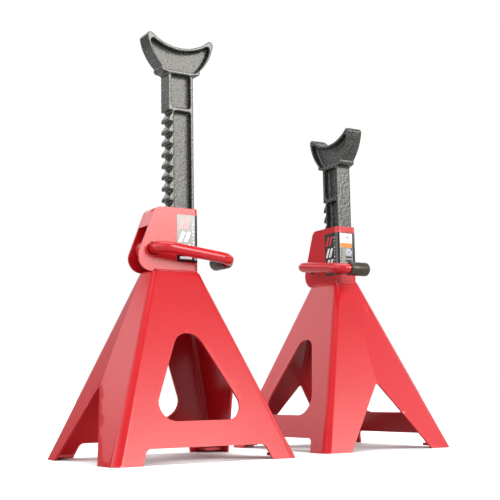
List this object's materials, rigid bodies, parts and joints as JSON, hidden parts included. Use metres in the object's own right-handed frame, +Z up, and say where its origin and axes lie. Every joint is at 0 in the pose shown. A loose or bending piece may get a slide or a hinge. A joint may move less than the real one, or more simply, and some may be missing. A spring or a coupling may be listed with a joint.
{
  "type": "axle jack stands",
  "caption": "Pyramid-base axle jack stands with ratchet bars and crescent saddles; lifting the side handle frees the pawl so the bar slides.",
  "frame": {"origin": "centre of the pair's bounding box on the floor plane", "axes": "+Z up; +X runs from the raised stand towards the lower stand and is the raised stand's front (label side); -Y is the side the raised stand's handle runs along"},
  "size_m": [0.5824, 0.3114, 0.6013],
  "materials": {
    "red_paint": "gloss powder coat",
    "red_paint_rod": "gloss powder coat",
    "cast_bar": "sand-cast, dark, satin",
    "cast_pawl": "cast, painted red with the frame",
    "steel_pin": "zinc plated",
    "grip_rubber": "matt moulded",
    "label_film": "printed film"
  },
  "bodies": {
    "raised_frame": {"raised_base_shell_handle_side": "red_paint", "raised_base_shell_plain_side": "red_paint", "raised_foot_plates": "red_paint", "raised_seam_welds": "red_paint", "raised_guide_plate": "red_paint", "raised_housing": "red_paint", "raised_bridge_plate": "red_paint", "raised_housing_welds": "red_paint", "raised_label": "label_film"},
    "raised_bar": {"raised_ratchet_bar": "cast_bar", "raised_bar_stop_pin": "steel_pin"},
    "raised_handle": {"raised_pawl": "cast_pawl", "raised_pawl_roll_pin": "steel_pin", "raised_handle_rod": "red_paint_rod", "raised_handle_grip": "grip_rubber", "raised_rod_washer": "steel_pin", "raised_rod_roll_pin": "steel_pin"},
    "lowered_frame": {"lowered_base_shell_handle_side": "red_paint", "lowered_base_shell_plain_side": "red_paint", "lowered_foot_plates": "red_paint", "lowered_seam_welds": "red_paint", "lowered_guide_plate": "red_paint", "lowered_housing": "red_paint", "lowered_bridge_plate": "red_paint", "lowered_housing_welds": "red_paint", "lowered_label": "label_film"},
    "lowered_bar": {"lowered_ratchet_bar": "cast_bar", "lowered_bar_stop_pin": "steel_pin"},
    "lowered_handle": {"lowered_pawl": "cast_pawl", "lowered_pawl_roll_pin": "steel_pin", "lowered_handle_rod": "red_paint_rod", "lowered_handle_grip": "grip_rubber", "lowered_rod_washer": "steel_pin", "lowered_rod_roll_pin": "steel_pin"}
  },
  "joints": [
    {"name": "lowered_stand_slide", "type": "slide", "parent": "raised_frame", "child": "lowered_frame", "axis": [1, 0, 0], "range_m": [-0.05, 0.25]},
    {"name": "raised_bar_slide", "type": "slide", "parent": "raised_frame", "child": "raised_bar", "axis": [0, 0, 1], "range_m": [-0.165, 0.0165]},
    {"name": "raised_handle_hinge", "type": "hinge", "parent": "raised_frame", "child": "raised_handle", "pos_m": [-0.18482, -0.03718, 0.288], "axis": [0, 1, 0], "range_deg": [-27, 7.7]},
    {"name": "lowered_bar_slide", "type": "slide", "parent": "lowered_frame", "child": "lowered_bar", "axis": [0, 0, 1], "range_m": [-0.066, 0.1155]},
    {"name": "lowered_handle_hinge", "type": "hinge", "parent": "lowered_frame", "child": "lowered_handle", "pos_m": [0.17268, 0.04932, 0.288], "axis": [1, 0, 0], "range_deg": [-27, 7.7]}
  ]
}
